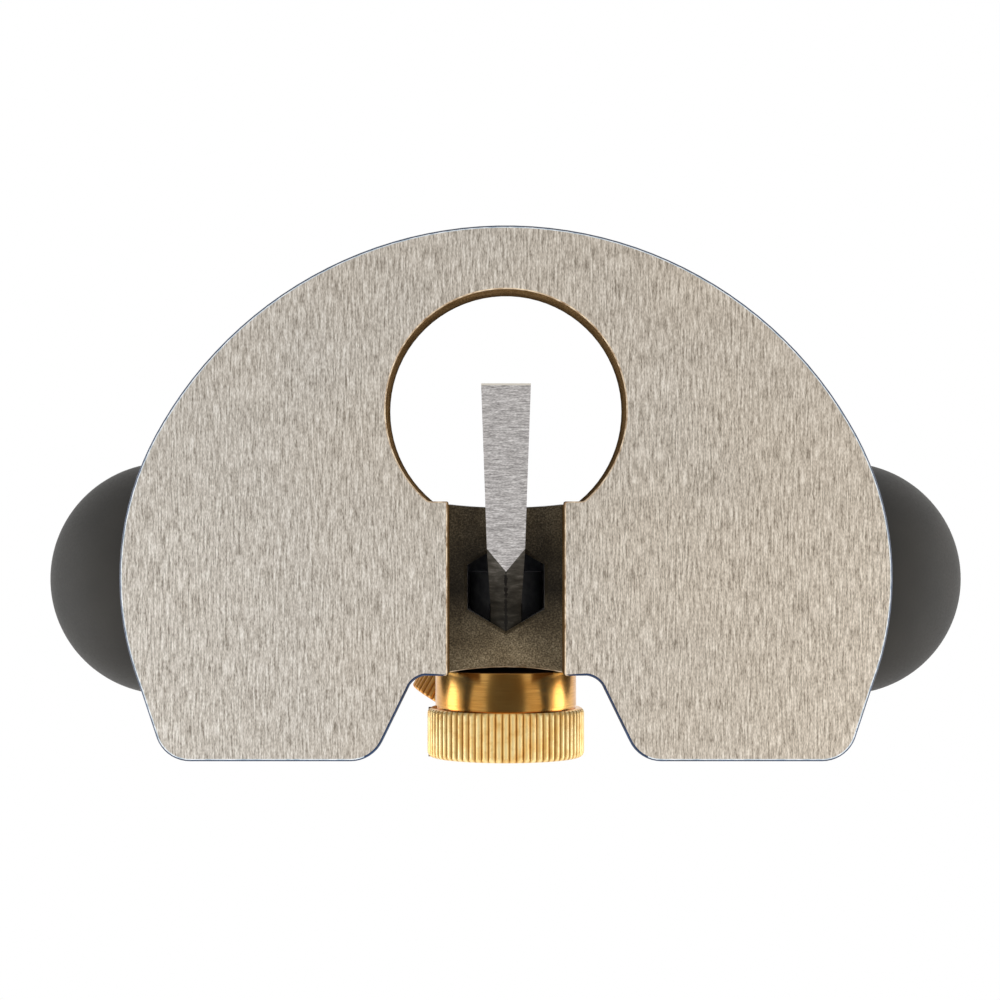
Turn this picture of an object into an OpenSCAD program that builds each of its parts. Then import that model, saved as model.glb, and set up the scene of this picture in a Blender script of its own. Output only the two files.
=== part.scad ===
// Hand router plane, as an assembly of its separate pieces.
// Millimetres. +Z is up and the sole lies on z = 0. +Y points to the rounded front, past the throat.
// X runs across the two knobs. The middle of the whole plane's footprint is at x = 0, y = 0.

/* [Sole] */
// Radius of the arc along the front of the sole
sole_front_r = 101.3; // [99:0.1:104]
// Radius of the arc down each side of the sole
sole_side_r = 76.6; // [74:0.1:79]
// Angle above the X axis where the front arc meets the side arcs
sole_blend_angle = 27.9; // [26:0.1:30]
// Angle by which the straight ends of the sides draw in
sole_taper_angle = 18.4; // [16:0.1:20]
// Distance from the middle of the plane to the front of the sole
sole_front = 69; // [68:0.1:71]
// Depth of the sole from front to rear
sole_depth = 136.5; // [134:0.1:139]
// Thickness of the sole plate
sole_t = 7.5; // [6.5:0.1:8.5]
// Radius of the rear corners of the sole
sole_corner_r = 9; // [7:0.1:11]
// Width of the rear cut-out where it starts, behind the slot
rear_cut_w = 46.6; // [44:0.1:49]
// Angle of the rear cut-out's flanks to the X axis
rear_cut_angle = 64; // [60:0.5:68]
// Radius where the rear cut-out's flanks run into the ledges
rear_cut_r = 5.5; // [4:0.1:5.6]

/* [Throat and slot] */
// Radius of the throat at the sole
throat_r = 30.7; // [29:0.1:32]
// Distance from the front of the sole to the throat
throat_front_land = 16.2; // [15:0.1:18]
// Amount by which the throat narrows towards its top
throat_draft = 0.5; // [0:0.1:1]
// Radius of the throat's two rear corners
throat_corner_r = 2; // [1:0.1:3]
// Height of the raised rim round the throat
rim_h = 19; // [16:0.1:20]
// Wall thickness of the raised rim
rim_t = 5; // [4:0.1:6]
// Rounding along the top of the raised rim
rim_edge_r = 1.6; // [1:0.1:2]
// Fillet round the foot of the raised rim
rim_fillet_r = 3; // [2:0.1:4]
// Distance from the front of the sole to the ledges beside the slot
ledge_front_run = 70.3; // [69.5:0.1:71]
// Distance from the front of the sole to the ledges behind the slot
ledge_rear_run = 114.7; // [114:0.1:116]
// Width of the slot under the bridge
slot_w = 30; // [28:0.1:31]
// Amount by which each side of the slot leans in at the bridge
slot_draft = 0.4; // [0:0.1:0.8]

/* [Bridge and guide] */
// Height of the bridge's underside above the sole
bridge_under = 13; // [12.5:0.1:13.4]
// Height of the bridge's top above the sole
bridge_top = 50; // [49:0.1:51]
// Width of the bridge
bridge_w = 43; // [41:0.1:46]
// Depth of the hollow in the bridge's front face
bridge_hollow = 0.9; // [0.3:0.1:1.5]
// Set-back of the bridge's front face behind the ledges
bridge_setback = 0.8; // [0.3:0.1:1.3]
// Radius of the bridge's upper shoulders
bridge_shoulder_r = 9; // [6:0.1:11]
// Radius of the bridge's upright rear corners
bridge_corner_r = 3; // [2:0.1:4]
// Fillet between the bridge's sides and the sole
bridge_fillet_r = 4; // [2.5:0.1:5]
// Depth of the hollow in the bridge's rear face, between the lands that the clamp nut bears on
rear_hollow = 1.4; // [0.8:0.1:1.8]
// Size of the hexagonal passage across its flats
passage_af = 20; // [19:0.1:21]
// Distance from the front of the sole to the rear point of the passage
passage_rear_run = 104.05; // [103.5:0.05:104.5]
// Height of the top of the wide hexagonal passage
passage_top = 39; // [38:0.1:40]
// Bevel at the mouth of the passage
passage_bevel = 1; // [0.4:0.1:1.4]
// Radius of the guide tower round the shank
tower_r = 12; // [11:0.1:13]
// Height of the top of the guide tower
tower_top = 65.5; // [65.2:0.1:66]
// Wall between the shank's passage and the tower's flat front
tower_front_wall = 3.2; // [2.6:0.1:3.6]
// Fillet round the foot of the guide tower
tower_fillet_r = 3; // [2:0.1:4]
// Rounding along the top of the guide tower
tower_edge_r = 1.5; // [1:0.1:2]

/* [Cutter] */
// Width of the cutting edge
edge_w = 12.7; // [11:0.1:14]
// Width of the foot where the heel begins
foot_heel_w = 9.7; // [9:0.1:10.5]
// Distance in front of the heel's point where the foot's sides turn in to the shank
heel_side_run = 4.8; // [4:0.1:5.5]
// Height of the cutting edge above the sole at rest
edge_z = 1; // [0.5:0.1:2]
// Distance from the front of the sole to the cutting edge
edge_run = 40.2; // [39:0.1:42]
// Distance from the front of the sole to the point of the ground flat
heel_run = 88.3; // [87.5:0.1:89]
// Relief angle of the ground flat
relief_angle = 3; // [2:0.1:3.5]
// Slope of the ridge under the heel
heel_angle = 31.5; // [29:0.5:33]
// Thickness of the foot at the slot's front ledge
foot_t = 4.6; // [4:0.1:5]
// Amount by which the foot has grown thicker at the middle of the passage
foot_rise = 1.2; // [0.8:0.1:1.6]
// Length of the level top of the foot in front of the shank
foot_land = 3; // [2:0.1:3.5]
// Thickness of the foot behind the edge bevel
nose_t = 2.4; // [2:0.1:3]
// Angle of the edge bevel to the ground flat
bevel_angle = 45; // [35:1:50]
// Size of the hexagonal shank across its flats
shank_af = 8; // [7.8:0.05:8.2]
// Height of the top of the shank
shank_top = 88.6; // [88:0.1:90]
// Depth of the wheel's notch in the shank, from the front point
notch_depth = 2.1; // [1.9:0.1:2.6]

/* [Clamp] */
// Height of the clamp's axis above the sole
clamp_z = 27; // [26.6:0.1:27.4]
// Radius of the clamp eye's barrel
eye_r = 9.5; // [9.2:0.1:9.8]
// Wall of the eye in front of the shank
eye_front_wall = 6; // [5:0.1:7]
// Wall of the eye behind the shank
eye_rear_wall = 3.2; // [3:0.1:3.4]
// Free run of the eye when the clamp is let go
eye_run = 1.2; // [1:0.1:1.3]
// Radius of the eyebolt's threaded tail
tail_r = 4; // [3.5:0.1:4.5]
// Distance by which the tail stops short of the nut's rear face
tail_short = 3; // [2.2:0.1:4]
// Length of the nut's smooth boss
nut_boss_len = 9.9; // [9:0.1:11]
// Radius of the nut's smooth boss
nut_boss_r = 18.6; // [18:0.1:18.8]
// Radius of the nut's knurled flange
nut_flange_r = 20.4; // [20:0.1:21]
// Length of the nut's knurled flange
nut_flange_len = 13.1; // [12:0.1:14]
// Width of the groove between the nut's boss and its flange
nut_groove_w = 0.6; // [0.4:0.1:1]
// Depth of the groove between the nut's boss and its flange
nut_groove_depth = 0.4; // [0.2:0.1:0.6]
// Depth of the recess in the nut's rear face
nut_recess_depth = 2; // [1:0.1:2.4]
// Step from the nut's boss radius in to the radius of the recess
nut_recess_step = 6; // [5:0.1:8]
// Number of knurls round the nut
nut_knurls = 70; // [60:1:80]
// Depth of the knurls on the brass pieces
knurl_depth = 0.5; // [0.3:0.05:0.7]

/* [Depth adjuster] */
// Radius of the threaded depth stud
stud_r = 4; // [3.6:0.1:4.2]
// Depth of the stud's hole in the bridge
stud_seat = 8; // [7:0.1:9]
// Radius of the depth wheel
wheel_r = 13; // [12.5:0.1:14]
// Thickness of the depth wheel
wheel_t = 6.5; // [5.5:0.1:6.6]
// Number of knurls round the depth wheel
wheel_knurls = 48; // [40:1:56]
// Width of the depth wheel's rim round its recess
wheel_rim_w = 2.5; // [2:0.1:3.5]
// Wall of the depth wheel's hub round the stud
wheel_hub_t = 2.5; // [2:0.1:3.5]
// Depth of the recess in the top of the depth wheel
wheel_recess_depth = 1; // [0.6:0.1:1.6]
// Downward travel of the cutter from rest
travel_down = 12; // [10:0.1:12.2]
// Upward travel of the cutter from rest
travel_up = 4; // [3:0.1:4]
// Height of the jam nut at the foot of the stud
jam_nut_h = 4.5; // [4:0.1:5]
// Size of the jam nut across its flats
jam_nut_af = 12; // [11:0.1:13]
// Radius of the depth stop nut
stop_nut_r = 7; // [6.5:0.1:7.3]
// Thickness of the depth stop nut
stop_nut_t = 4; // [3.5:0.1:4.5]
// Number of knurls round the depth stop nut
stop_nut_knurls = 28; // [24:1:32]
// Free run of the stop nut above the jam nut at rest
stop_nut_down = 4; // [3:0.1:4.2]
// Thickness of the cap on the stud
cap_t = 4.5; // [4:0.1:5.5]
// Radius of the cap on the stud
cap_r = 5.8; // [5.4:0.1:7]
// Bevel round the top of the cap
cap_bevel = 1; // [0.5:0.1:1.2]
// Distance by which the stud stops short of the cap's top
stud_short = 1; // [0.5:0.1:1.5]

/* [Lock screw] */
// Height of the lock screw's axis above the sole
lock_z = 58; // [57.8:0.1:58.2]
// Angle of the lock screw's axis away from straight back
lock_angle = 30; // [28:0.5:31]
// Radius of the boss that carries the lock screw
lock_boss_r = 7.5; // [7:0.1:7.5]
// Distance by which the boss reaches past the bridge's rear face, along its axis
lock_boss_out = 0.33; // [0.2:0.01:1]
// Radius of the lock screw's thread
lock_r = 3; // [2.6:0.1:3.2]
// Thickness of the pad that presses the shank
pad_t = 3; // [2.5:0.1:3.5]
// Radius of the lock screw's head
lock_head_r = 11.5; // [11:0.1:11.7]
// Thickness of the lock screw's head
lock_head_t = 9; // [8:0.1:10]
// Gap from the bridge's rear face to the lock screw's head, along its axis
lock_head_gap = 5.03; // [4.8:0.01:6]
// Length of the plain collar under the lock screw's head
lock_collar_len = 2; // [1:0.1:2.5]
// Radius of the plain collar under the lock screw's head
lock_collar_r = 6.5; // [6:0.1:7]
// Thickness of the head's closed end, past the end of the thread
lock_end_wall = 3; // [2:0.1:4]
// Number of knurls round the lock screw's head
lock_knurls = 40; // [34:1:48]

/* [Knobs] */
// Radius of the ball knobs
knob_r = 32; // [30:0.1:33]
// Distance from the middle of the plane to a knob's centre
knob_x = 93.5; // [92:0.1:96]
// Distance from the front of the sole to the knobs' centres
knob_run = 91.6; // [90:0.1:94]
// Height of the knobs' centres
knob_z = 60; // [58:0.1:62]
// Outward lean of the knobs
knob_tilt = 20; // [16:0.5:24]
// Distance from a knob's centre to its flat base
knob_base = 26; // [25:0.1:27]
// Radius at the top of a knob boss
boss_r = 17; // [15:0.1:17.5]
// Radius at the bottom of a knob boss
boss_base_r = 20.5; // [19:0.1:21]
// Length over which a knob boss widens to its bottom radius
boss_flare_len = 30; // [28:0.5:32]
// Radius of the round pad at the foot of a knob boss
pad_foot_r = 23; // [22.5:0.1:24]
// Height of the round pad at the foot of a knob boss
pad_foot_h = 4; // [3.5:0.1:5]
// Fillet round the foot of the pad
pad_fillet_r = 2.5; // [1.5:0.1:2.5]
// Rounding along the top of the pad
pad_edge_r = 1.2; // [0.6:0.1:1.2]
// Width of the arched rib from the bridge to a knob boss
rib_w = 11; // [9:0.1:13]
// Radius of the hollow along the rib's top
rib_arc_r = 80; // [70:1:100]
// Rounding along the rib's upper edges
rib_edge_r = 2.5; // [1.5:0.1:3]
// Fillet along the foot of the rib
rib_fillet_r = 4; // [2.5:0.1:5]
// Radius of the studs that hold the knobs
knob_stud_r = 4; // [3.5:0.1:4.5]
// Depth of the studs' holes in the bosses
knob_stud_seat = 16; // [14:0.1:18]
// Radius of the slotted knob nuts
knob_nut_r = 6.6; // [6.2:0.1:7]
// Height of the slotted knob nuts
knob_nut_h = 5; // [4.5:0.1:5.5]
// Width of the driver slot in the knob nuts
knob_slot_w = 1.8; // [1.4:0.1:2.2]
// Depth of the driver slot in the knob nuts
knob_slot_depth = 1.8; // [1.2:0.1:2.2]
// Distance from the nut's top down to the end of its stud
knob_stud_short = 2; // [1.8:0.1:3]
// Thickness of the washers under the knob nuts
washer_t = 1.2; // [1:0.1:1.6]
// Distance from a knob's centre to the floor of its counterbore
knob_floor = 22; // [21:0.1:23]

/* [Fits] */
// Gap between flat faces that press on one another
seat_gap = 0.03; // [0.02:0.01:0.05]
// Radial gap of a shaft that turns or slides in its bore
run_gap = 0.06; // [0.04:0.01:0.09]
// Gap round the shank in its passages
shank_gap = 0.15; // [0.1:0.01:0.2]
// Plain clearance between pieces that pass one another
clear = 0.3; // [0.25:0.01:0.4]

/* [Hidden] */
$fn = 96;

big = 400;
skin = 0.01;
edge_break = 0.6;
arc_lap = 0.03;
fillet_lap = 0.05;
slot_side = slot_w / 2;
blue = "#1d4266";
steel = "#a9a7a3";
dark_steel = "#3b3a38";
brass = "#c9963f";
charcoal = "#3a3836";

// Sole
front_centre = [0, sole_front - sole_front_r];
side_centre = front_centre + (sole_front_r - sole_side_r) * unit(sole_blend_angle);
side_end = side_centre + sole_side_r * unit(-sole_taper_angle);
sole_rear = sole_front - sole_depth;
rear_corner = [side_end.x - (side_end.y - sole_rear) * tan(sole_taper_angle), sole_rear];
ledge_front = sole_front - ledge_front_run;
ledge_rear = sole_front - ledge_rear_run;
rear_cut_corner = [rear_cut_w / 2 + (ledge_rear - sole_rear) / tan(rear_cut_angle), sole_rear];
throat_y = sole_front - throat_front_land - throat_r;

// Bridge
bridge_front = ledge_front - bridge_setback;
bridge_hollow_r = (pow(slot_side, 2) + pow(bridge_hollow, 2)) / (2 * bridge_hollow);
rear_hollow_r = (pow(slot_side, 2) + pow(rear_hollow, 2)) / (2 * rear_hollow);
passage_rear = sole_front - passage_rear_run;
passage_y = passage_rear + passage_af / sqrt(3);

// Cutter
shank_y = passage_rear + (shank_af / 2 + seat_gap) * 2 / sqrt(3);
shank_front = shank_y + shank_af / sqrt(3);
shank_hole_af = shank_af + 2 * shank_gap;
shank_hole_y = passage_rear + shank_hole_af / sqrt(3);
tower_front = shank_hole_y + shank_hole_af / sqrt(3) + tower_front_wall;
edge_y = sole_front - edge_run;
heel_y = sole_front - heel_run;
heel_z = edge_z + (edge_y - heel_y) * tan(relief_angle);
shank_side = shank_af / sqrt(3) / 2;
eye_under = clamp_z - eye_r;

// Clamp
eye_front = shank_front + eye_front_wall;
eye_rear = shank_y - shank_af / sqrt(3) - eye_run - clear - eye_rear_wall;
eye_bore_end = eye_rear - clear;
nut_front = ledge_rear - seat_gap;
nut_len = nut_boss_len + nut_flange_len;
tail_end = nut_front - nut_len + tail_short;

// Depth adjuster
stud_y = shank_front - notch_depth + clear + wheel_r;
wheel_low = tower_top + 2 * clear;
wheel_z = wheel_low + travel_down;
notch_gap = 0.08;
cap_z = wheel_z + wheel_t + travel_up + 2 * clear;
stud_top = cap_z + cap_t - stud_short;
stop_nut_z = bridge_top + jam_nut_h + clear + stop_nut_down;

// Lock screw
pad_start = shank_af / 2 + seat_gap;
shaft_start = pad_start + pad_t;
lock_exit = (shank_y - ledge_rear) / cos(lock_angle);
lock_boss_reach = lock_exit + lock_boss_out;
lock_head_start = lock_exit + lock_head_gap;
lock_reach = lock_head_start + lock_head_t;
lock_bore_start = lock_head_start - lock_end_wall;

// Knobs
knob_y = sole_front - knob_run;
rib_foot = [
  knob_x - (knob_base + boss_r) * sin(knob_tilt),
  knob_z - knob_base * cos(knob_tilt) - boss_r * sin(knob_tilt)
];
knob_stud_end = knob_floor + washer_t + knob_nut_h - knob_stud_short;
rib_head = [bridge_w / 2 - 2, bridge_top - bridge_shoulder_r / 2];
rib_root = slot_side + slot_draft + 1;
rib_sink = 8;
boss_foot_x = knob_x - (knob_z - sole_t) * tan(knob_tilt);

function unit(angle) = [cos(angle), sin(angle)];

// Centre of the arc of radius r that hangs between a and b, with b to the left of a.
function arc_centre(a, b, r) =
  let (chord = b - a, half = norm(chord) / 2)
  (a + b) / 2 + [chord.y, -chord.x] / (2 * half) * sqrt(r * r - half * half);

// Outline with n teeth between the radii r - depth and r.
function knurl_points(n, r, depth) =
  [for (i = [0:2 * n - 1]) (i % 2 == 0 ? r : r - depth) * unit(180 * i / n)];

// Pie slice of a large disc at c, from angle a to angle b.
module slice(c, a, b) {
  polygon([c, c + big * unit(a), c + big * unit((a + b) / 2), c + big * unit(b)]);
}

// Sliver outside the rounding r of a corner at p, whose two edges leave it at the angles a and b.
module corner_sliver(p, a, b, r) {
  half = (b - a) / 2;
  centre = p + r / sin(half) * unit((a + b) / 2);
  run = r / tan(half);
  difference() {
    polygon([p, p + run * unit(a), centre, p + run * unit(b)]);
    translate(centre) circle(r);
  }
}

// Fillet in an inner corner, let a little into both faces so that its arc crosses them.
module fillet(p, a, b, r) {
  corner_sliver(p - fillet_lap / sin((b - a) / 2) * unit((a + b) / 2), a, b, r);
}

// The same sliver, taken off an outer corner to round it.
module round_off(p, a, b, r) {
  fillet(p, a, b, r + fillet_lap);
}

module both_sides() {
  children();
  mirror([1, 0, 0]) children();
}

// Hexagonal prism with its points towards the front and the rear.
module hex_bar(af, h) {
  rotate(90) cylinder(h = h, r = af / sqrt(3), $fn = 6);
}

// Turns a piece built along Z to point backwards along the clamp's axis, from the height z = 0 on.
module along_clamp(y) {
  translate([0, y, clamp_z]) rotate([90, 0, 0]) children();
}

// Turns a piece built along Z to point out along the lock screw's axis, from the shank's middle.
module along_lock() {
  translate([0, shank_y, lock_z]) rotate(lock_angle) rotate([90, 0, 0]) children();
}

// Turns a piece built along Z to stand on the axis of the knob at x > 0, from the knob's centre.
module on_knob() {
  translate([knob_x, knob_y, knob_z]) rotate([0, knob_tilt, 0]) children();
}

// Disc with straight knurls and bevelled edges.
module knurled_disc(r, h, n) {
  intersection() {
    rotate(45 / n) translate([0, 0, -1]) linear_extrude(h + 2) polygon(knurl_points(n, r, knurl_depth));
    rotate_extrude() polygon([
      [0, 0], [r - edge_break, 0], [r + edge_break, 2 * edge_break],
      [r + edge_break, h - 2 * edge_break], [r - edge_break, h], [0, h]
    ]);
  }
}

// Sole

module rear_cut_outline() {
  w = rear_cut_w / 2;
  difference() {
    polygon([
      [-w, ledge_rear], [w, ledge_rear],
      rear_cut_corner, [rear_cut_corner.x, sole_rear - 1],
      [-rear_cut_corner.x, sole_rear - 1], [-rear_cut_corner.x, sole_rear]
    ]);
    both_sides() fillet([w, ledge_rear], 180, 360 - rear_cut_angle, rear_cut_r);
  }
}

// The front arc is a pie slice, and each side arc is a whole circle, drawn so that it crosses its neighbours.
module sole_outline() {
  straight_top = side_centre + (sole_side_r - arc_lap) * unit(-sole_taper_angle);
  difference() {
    union() {
      intersection() {
        translate(front_centre) circle(sole_front_r, $fn = 240);
        slice(front_centre, sole_blend_angle, 180 - sole_blend_angle);
      }
      both_sides() translate(side_centre) circle(sole_side_r + arc_lap, $fn = 200);
      polygon([
        front_centre, straight_top, rear_corner,
        [-rear_corner.x, rear_corner.y], [-straight_top.x, straight_top.y]
      ]);
    }
    translate([-big / 2, sole_rear - big]) square(big);
    rear_cut_outline();
    both_sides() {
      corner_sliver(rear_corner, 90 - sole_taper_angle, 180, sole_corner_r);
      corner_sliver(rear_cut_corner, 0, 180 - rear_cut_angle, sole_corner_r);
    }
  }
}

// The throat: a circle cut off at the ledges, with its two rear corners rounded.
module throat_outline(r) {
  corner_y = ledge_front + throat_corner_r;
  corner_x = sqrt(pow(r - throat_corner_r, 2) - pow(throat_y - corner_y, 2));
  corner = [corner_x, corner_y];
  out = (corner - [0, throat_y]) / norm(corner - [0, throat_y]);
  difference() {
    intersection() {
      translate([0, throat_y]) circle(r, $fn = 180);
      translate([-big / 2, ledge_front]) square(big);
    }
    both_sides() difference() {
      polygon([
        corner, corner + 3 * throat_corner_r * out,
        corner + [3, -3] * throat_corner_r, [corner.x, ledge_front - 1]
      ]);
      translate(corner) circle(throat_corner_r);
    }
  }
}

// Body casting

module rim() {
  r = throat_r - throat_draft;
  translate([0, throat_y]) rotate_extrude($fn = 180) {
    difference() {
      translate([r, 0]) square([rim_t, rim_h]);
      translate([r + rim_t - rim_edge_r, rim_h - rim_edge_r]) difference() {
        square(rim_edge_r + 1);
        circle(rim_edge_r, $fn = 48);
      }
    }
    fillet([r + rim_t, sole_t], 0, 90, rim_fillet_r);
  }
}

module bridge_block() {
  w = bridge_w / 2;
  intersection() {
    linear_extrude(bridge_top) difference() {
      translate([-w, ledge_rear]) square([bridge_w, bridge_front - ledge_rear]);
      translate([0, bridge_front - bridge_hollow + bridge_hollow_r]) circle(bridge_hollow_r, $fn = 360);
      translate([0, ledge_rear + rear_hollow - rear_hollow_r]) circle(rear_hollow_r, $fn = 360);
      both_sides() corner_sliver([w, ledge_rear], 90, 180, bridge_corner_r);
    }
    translate([0, big / 2, 0]) rotate([90, 0, 0]) linear_extrude(big) difference() {
      translate([-w, 0]) square([bridge_w, bridge_top]);
      both_sides() corner_sliver([w, bridge_top], 180, 270, bridge_shoulder_r);
    }
  }
}

module bridge_fillet() {
  translate([0, bridge_front, 0]) rotate([90, 0, 0])
    linear_extrude(bridge_front - ledge_rear - bridge_corner_r)
      fillet([bridge_w / 2, sole_t], 0, 90, bridge_fillet_r);
}

module guide_tower() {
  difference() {
    translate([0, shank_y, 0]) rotate_extrude() {
      difference() {
        translate([0, bridge_top - 1]) square([tower_r, tower_top - bridge_top + 1]);
        round_off([tower_r, tower_top], 180, 270, tower_edge_r);
      }
      fillet([tower_r, bridge_top], 0, 90, tower_fillet_r);
    }
    translate([-big / 2, tower_front, bridge_top]) cube(big);
    translate([-big / 2, ledge_rear + rear_hollow - big, 0]) cube(big);
  }
  along_lock() linear_extrude(lock_boss_reach) lock_boss_outline();
}

// Round above, and square down to the bridge's top.
module lock_boss_outline() {
  half_w = lock_boss_r - arc_lap;
  foot = lock_z - bridge_top + arc_lap;
  circle(lock_boss_r);
  translate([-half_w, -foot]) square([2 * half_w, foot]);
}

module knob_boss() {
  intersection() {
    on_knob() translate([0, 0, -knob_base - 2 * boss_flare_len]) cylinder(
      h = 2 * boss_flare_len, r1 = boss_r + (boss_base_r - boss_r) * 2, r2 = boss_r);
    translate([0, -big / 2, 1]) cube(big);
  }
}

// Round pad at the foot of a knob boss, kept a little inside the edge of the sole.
module boss_pad() {
  top = sole_t + pad_foot_h;
  intersection() {
    translate([boss_foot_x, knob_y, 0]) rotate_extrude() {
      difference() {
        translate([0, 1]) square([pad_foot_r, top - 1]);
        round_off([pad_foot_r, top], 180, 270, pad_edge_r);
      }
      fillet([pad_foot_r, sole_t], 0, 90, pad_fillet_r);
    }
    translate(side_centre) cylinder(h = big, r = sole_side_r - 2 * clear, $fn = 200);
  }
}

// Rib with a hollow, rounded top that runs from the bridge down to a knob boss.
module knob_rib() {
  translate([0, knob_y, 0]) rotate([90, 0, 0]) difference() {
    translate([0, 0, -rib_w / 2]) linear_extrude(rib_w) polygon([
      [rib_root, 1], [rib_root, rib_head.y], rib_head,
      rib_foot, rib_foot + [rib_sink, -rib_sink], [rib_foot.x + rib_sink / 2, 1]
    ]);
    translate(arc_centre(rib_foot, rib_head, rib_arc_r)) rotate_extrude($fn = 240) {
      translate([0, -rib_w]) square([rib_arc_r, 2 * rib_w]);
      round_off([rib_arc_r, rib_w / 2], 270, 360, rib_edge_r);
      round_off([rib_arc_r, -rib_w / 2], 0, 90, rib_edge_r);
    }
  }
}

module rib_fillets() {
  translate([rib_root, knob_y, 0]) rotate([90, 0, 90]) linear_extrude(rib_foot.x - rib_root) {
    fillet([rib_w / 2, sole_t], 0, 90, rib_fillet_r);
    fillet([-rib_w / 2, sole_t], 90, 180, rib_fillet_r);
  }
}

module body_casting() color(blue) difference() {
  union() {
    linear_extrude(sole_t) sole_outline();
    rim();
    bridge_block();
    guide_tower();
    both_sides() {
      bridge_fillet();
      knob_boss();
      boss_pad();
      knob_rib();
      rib_fillets();
    }
  }
  // Throat, narrowing a little to its top
  translate([0, 0, -1]) linear_extrude(big) throat_outline(throat_r - throat_draft);
  intersection() {
    translate([0, throat_y, 0]) cylinder(h = rim_h, r1 = throat_r, r2 = throat_r - throat_draft, $fn = 180);
    translate([0, 0, -1]) linear_extrude(big) throat_outline(throat_r);
  }
  // Slot under the bridge
  translate([0, ledge_front + 1, 0]) rotate([90, 0, 0]) linear_extrude(big) polygon([
    [-slot_side, -1], [slot_side, -1],
    [slot_side - slot_draft, bridge_under], [slot_draft - slot_side, bridge_under]
  ]);
  // Hexagonal passage and the shank's passage above it
  translate([0, passage_y, bridge_under - 1]) hex_bar(passage_af, passage_top - bridge_under + 1);
  translate([0, passage_y, bridge_under - skin]) rotate(90) cylinder(
    h = passage_bevel, r1 = passage_af / sqrt(3) + passage_bevel, r2 = passage_af / sqrt(3), $fn = 6);
  translate([0, shank_hole_y, bridge_under]) hex_bar(shank_hole_af, big);
  // Bore of the clamp eye and hole for its tail
  along_clamp(ledge_front) cylinder(h = ledge_front - eye_bore_end, r = eye_r + 2 * run_gap);
  along_clamp(ledge_front) cylinder(h = big, r = tail_r + clear);
  // Holes for the depth stud, the lock screw and the knob studs
  translate([0, stud_y, bridge_top - stud_seat]) cylinder(h = big, r = stud_r + run_gap);
  along_lock() cylinder(h = big, r = lock_r + run_gap);
  both_sides() on_knob() translate([0, 0, -knob_base - knob_stud_seat])
    cylinder(h = big, r = knob_stud_r + run_gap);
}

// Cutter

// Side view of the foot and heel, with the forward direction to the right.
module foot_profile() {
  nose_y = edge_y - nose_t / tan(bevel_angle);
  foot_z = edge_z + (edge_y - ledge_front) * tan(relief_angle);
  foot_top = eye_under - travel_up - 2 * clear;
  polygon([
    [edge_y, edge_z], [heel_y, heel_z],
    [shank_y - shank_af, heel_z], [shank_y - shank_af, foot_top], [shank_front + foot_land, foot_top],
    [passage_y + 1, foot_z + foot_t + foot_rise], [ledge_front, foot_z + foot_t],
    [nose_y, edge_z + nose_t + (edge_y - nose_y) * tan(relief_angle)]
  ]);
}

// Everything above the two faces that meet in the heel's ridge.
module above_ridge() {
  translate([0, heel_y, heel_z]) rotate([90 - heel_angle, 0, 0]) translate([0, 0, -big / 2])
    linear_extrude(big) polygon([
      [0, 0], [passage_af, passage_af * tan(30)], [passage_af, big],
      [-passage_af, big], [-passage_af, passage_af * tan(30)]
    ]);
}

// The foot from above: it narrows from the edge to the heel, and then to the shank.
module foot_plan() {
  half_edge = edge_w / 2;
  half_heel = foot_heel_w / 2;
  half_shank = shank_af / 2;
  turn_y = heel_y + heel_side_run;
  polygon([
    [half_edge, edge_y], [half_heel, turn_y],
    [half_shank, shank_y + shank_side], [half_shank, shank_y - shank_side],
    [0, shank_y - 2 * shank_side],
    [-half_shank, shank_y - shank_side], [-half_shank, shank_y + shank_side],
    [-half_heel, turn_y], [-half_edge, edge_y]
  ]);
}

module cutter() color(steel) difference() {
  intersection() {
    above_ridge();
    union() {
      intersection() {
        rotate([90, 0, 90]) translate([0, 0, -edge_w]) linear_extrude(2 * edge_w) foot_profile();
        linear_extrude(eye_under) foot_plan();
      }
      translate([0, shank_y, 0]) hex_bar(shank_af, shank_top);
    }
  }
  translate([-shank_af, shank_front - notch_depth, wheel_z - notch_gap])
    cube([2 * shank_af, shank_af, wheel_t + 2 * notch_gap]);
}

// Clamp

module clamp_eyebolt() color(dark_steel) difference() {
  union() {
    along_clamp(eye_front) cylinder(h = eye_front - eye_rear, r = eye_r);
    along_clamp(eye_front - 1) cylinder(h = eye_front - 1 - tail_end, r = tail_r);
  }
  // Window for the shank, long enough for the eye's free run
  window_front = shank_front + seat_gap * 2 / sqrt(3);
  window_rear = eye_rear + eye_rear_wall;
  half = shank_hole_af / sqrt(3);
  translate([0, window_front - half, 0]) hex_bar(shank_hole_af, big);
  translate([0, window_rear + half, 0]) hex_bar(shank_hole_af, big);
  translate([-shank_hole_af / 2, window_rear + half, 0])
    cube([shank_hole_af, window_front - window_rear - 2 * half, big]);
}

module clamp_nut() color(brass) along_clamp(nut_front) difference() {
  union() {
    cylinder(h = nut_boss_len + 1, r = nut_boss_r);
    translate([0, 0, nut_boss_len]) knurled_disc(nut_flange_r, nut_flange_len, nut_knurls);
  }
  translate([0, 0, -1]) cylinder(h = big, r = tail_r + run_gap);
  translate([0, 0, nut_len - nut_recess_depth]) cylinder(h = big, r = nut_boss_r - nut_recess_step);
  translate([0, 0, nut_boss_len - nut_groove_w]) difference() {
    cylinder(h = nut_groove_w, r = nut_flange_r + 1);
    translate([0, 0, -1]) cylinder(h = nut_groove_w + 2, r = nut_boss_r - nut_groove_depth);
  }
}

// Depth adjuster

module depth_stud() color(dark_steel) translate([0, stud_y, bridge_top - stud_seat])
  cylinder(h = stud_top - bridge_top + stud_seat, r = stud_r);

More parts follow.
